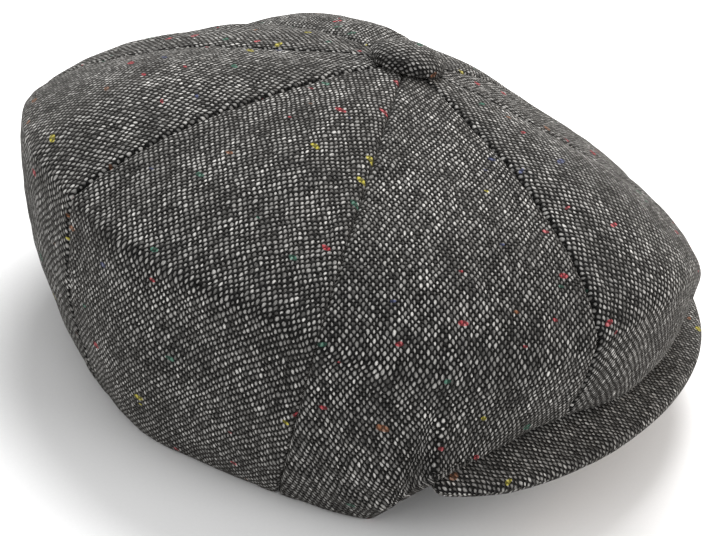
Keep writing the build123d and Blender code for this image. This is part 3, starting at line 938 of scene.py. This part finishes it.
def make_button(tweed):
    """The covered button: cloth drawn over a dome and gathered under its edge."""
    turn = np.linspace(0.0, 2.0 * math.pi, BUTTON_SPOKES + 1)[:-1]
    seat = BUTTON_HEIGHT + BUTTON_SEAT
    foot = seat + BUTTON_SKIRT
    dome = np.linspace(0.0, math.pi / 2.0, 30)
    edge = np.linspace(0.0, 1.0, 6)[1:]
    roll = np.linspace(0.0, math.pi / 2.0, 8)[1:]
    roll_top = seat + BUTTON_ROLL
    radius = np.concatenate([
        BUTTON_RADIUS * np.sin(dome) ** 0.9,
        np.full(len(edge), BUTTON_RADIUS),
        BUTTON_RADIUS - BUTTON_CLOTH * (1.0 - np.cos(roll)),
    ])
    height = np.concatenate([
        foot + BUTTON_DOME * np.cos(dome) ** 1.05,
        foot + (roll_top - foot) * edge,
        roll_top - (BUTTON_ROLL + BUTTON_TUCK) * np.sin(roll),
    ])
    below = len(edge) + len(roll)
    back_radius = np.minimum(radius, BUTTON_RADIUS - BUTTON_CLOTH)
    back_radius = back_radius * np.concatenate([np.sin(dome) ** 0.1, np.ones(below)])
    back_height = height - BUTTON_CLOTH * 0.8 * np.concatenate([np.cos(dome), np.zeros(below)])
    folds = np.concatenate([np.zeros(len(dome)), 0.4 * edge, 0.4 + 0.6 * np.sin(roll)])[:, None]
    gather = 1.0 - 0.006 * folds * (1.0 + np.sin(turn * 26.0 + 1.5 * np.sin(turn * 3.0)))[None, :]
    heading = np.degrees(turn)[None, :]
    outside = place(np.maximum(radius, 0.00005)[:, None] * gather, height[:, None], heading)
    inside = place(np.maximum(back_radius, 0.00004)[:, None] * np.ones(BUTTON_SPOKES), back_height[:, None], heading)
    step = np.linalg.norm(np.diff(outside, axis=0), axis=-1)
    length = np.vstack([np.zeros(BUTTON_SPOKES), np.cumsum(step, axis=0)])
    grain = (turn + 0.4)[None, :]
    number = np.full(length.shape, BUTTON_CLOTH_NUMBER)
    cloth = np.stack([length * np.sin(grain), length * np.cos(grain), number], axis=-1)
    piece = shell("button_cloth", outside, inside, cloth, closed=True, flip=True)
    put_on(piece, tweed, "tweed", "button_cover")


def make_stitches(thread):
    """Rows of short stitches along the sweatband's two edges."""
    points, faces = [], []
    quarter = math.pi / 2.0
    for height in (BAND_BOTTOM + 0.0028, BAND_BOTTOM + BAND_HEIGHT - 0.0022):
        for number in range(STITCHES):
            base = len(points)
            middle = 2.0 * math.pi * number / STITCHES
            half = 2.0 * math.pi / STITCHES * STITCH_SHARE
            for ring in range(STITCH_RINGS):
                turn = middle + half * (ring - 2) / 2.0
                lift = THREAD_RADIUS * math.cos((ring - 2) / 2.0 * quarter)
                centre = band_point(np.array(turn), -SWEATBAND - lift - THREAD_GAP, height)
                thick = THREAD_RADIUS * (1.0 if 0 < ring < STITCH_RINGS - 1 else 0.55)
                out = np.array([math.sin(turn), -math.cos(turn), 0.0])
                for side in range(STITCH_SIDES):
                    around = side / STITCH_SIDES * 2.0 * math.pi
                    rise = np.array([0.0, 0.0, thick * math.sin(around)])
                    points.append(centre + out * thick * math.cos(around) + rise)
            for ring in range(STITCH_RINGS - 1):
                for side in range(STITCH_SIDES):
                    a = base + ring * STITCH_SIDES + side
                    b = base + ring * STITCH_SIDES + (side + 1) % STITCH_SIDES
                    faces.append((a, b, b + STITCH_SIDES, a + STITCH_SIDES))
            faces.append(tuple(base + side for side in reversed(range(STITCH_SIDES))))
            faces.append(tuple(len(points) - STITCH_SIDES + side for side in range(STITCH_SIDES)))
    grid = np.array(points)
    piece = cloth_mesh("sweatband_stitches", grid, faces, grid)
    piece.data.materials.append(thread)
    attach(piece, "root")


def finish_cad_nodes():
    """The parts that stay as the CAD made them get their real finishes."""
    finishes = {
        "band_stiffener": solid_material("buckram", (0.030, 0.030, 0.031), 0.85, 0.0, 900.0),
        "peak_board": solid_material("peak_plastic", (0.10, 0.10, 0.10), 0.45, 0.0, 500.0),
        "button_shell": solid_material("pressed_metal", (0.66, 0.66, 0.68), 0.32, 1.0, 700.0),
    }
    finishes["button_back"] = finishes["button_shell"]
    finishes["button_washer"] = finishes["button_shell"]
    for name, material in finishes.items():
        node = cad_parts[name]
        node.data.materials.clear()
        node.data.materials.append(material)


# ---------------------------------------------------------------- stage, light and camera

CAMERA_AZIMUTH = math.radians(66.1)  # from the front towards the wearer's right
CAMERA_RISE = math.radians(26.3)
CAMERA_ROLL = math.radians(13.5)
CAMERA_DISTANCE = 0.665
CAMERA_LENS = 93.0
CROWN_MIDDLE = Vector((MIDDLE_X, -0.011, 0.058))
LOOK_RIGHT = -0.0149  # the picture's middle, from the crown's middle
LOOK_UP = -0.0197
FLOOR_REACH = 6.0


def make_camera():
    back = Vector((
        -math.sin(CAMERA_AZIMUTH) * math.cos(CAMERA_RISE),
        -math.cos(CAMERA_AZIMUTH) * math.cos(CAMERA_RISE),
        math.sin(CAMERA_RISE),
    ))
    right = Vector((math.cos(CAMERA_AZIMUTH), -math.sin(CAMERA_AZIMUTH), 0.0))
    up = back.cross(right)
    rolled_right = right * math.cos(CAMERA_ROLL) + up * math.sin(CAMERA_ROLL)
    rolled_up = up * math.cos(CAMERA_ROLL) - right * math.sin(CAMERA_ROLL)
    eye = CROWN_MIDDLE + back * CAMERA_DISTANCE
    target = CROWN_MIDDLE + rolled_right * LOOK_RIGHT + rolled_up * LOOK_UP
    look = (target - eye).normalized()
    side = look.cross(rolled_up).normalized()
    head = side.cross(look)
    data = bpy.data.cameras.new("camera")
    data.lens = CAMERA_LENS
    data.clip_start = 0.01
    camera = linked("camera", data)
    stand = Matrix((side, head, -look)).transposed().to_4x4()
    stand.translation = eye
    camera.matrix_world = stand
    bpy.context.scene.camera = camera


def area_light(name, position, target, size, power, colour=(1.0, 1.0, 1.0)):
    data = bpy.data.lights.new(name, "AREA")
    data.shape = "DISK"
    data.size = size
    data.energy = power
    data.color = colour
    lamp = linked(name, data)
    lamp.location = position
    lamp.rotation_euler = (Vector(target) - Vector(position)).to_track_quat("-Z", "Y").to_euler()


def make_stage():
    """A pale floor, wide enough to fill every view, under soft light from all sides."""
    corners = [(x * FLOOR_REACH, y * FLOOR_REACH, 0.0) for x, y in ((-1, -1), (1, -1), (1, 1), (-1, 1))]
    mesh = bpy.data.meshes.new("stage_floor")
    mesh.from_pydata(corners, [], [(0, 1, 2, 3)])
    floor = linked("stage_floor", mesh)
    mesh.materials.append(stage_material())
    world = bpy.data.worlds.new("studio")
    world.use_nodes = True
    background = world.node_tree.nodes["Background"]
    background.inputs[0].default_value = (1.0, 1.0, 1.0, 1.0)
    background.inputs[1].default_value = 0.72
    bpy.context.scene.world = world
    area_light("key", (0.65, 0.40, 1.20), (0.0, 0.0, 0.05), 0.9, 25.0)
    area_light("front", (0.1, -1.1, 0.8), (0.0, 0.0, 0.05), 0.8, 4.2)
    area_light("side", (-1.2, 0.2, 0.6), (0.0, 0.0, 0.05), 0.8, 3.0)
    area_light("warm", (1.1, -0.7, 0.7), (0.05, -0.05, 0.05), 0.6, 4.2, (1.0, 0.78, 0.60))
    view = bpy.context.scene.view_settings
    view.view_transform = "Standard"
    view.look = "None"


make_camera()
make_stage()
tweed = tweed_material()
satin = satin_material("lining_satin", (0.028, 0.028, 0.030), 0.30)
piping_satin = satin_material("piping_satin", (0.022, 0.022, 0.024), 0.34)
make_crown(tweed)
make_button(tweed)
peak_cover("peak_top_cloth", 1.0, tweed, "peak_top_cover")
peak_cover("peak_under_cloth", -1.0, tweed, "peak_under_cover")
make_lining(satin)
make_sweatband(twill_material("sweatband_twill", (0.045, 0.045, 0.047), 0.0009))
make_piping(piping_satin)
make_stitches(twill_material("thread", (0.06, 0.06, 0.06), 0.0006))
finish_cad_nodes()
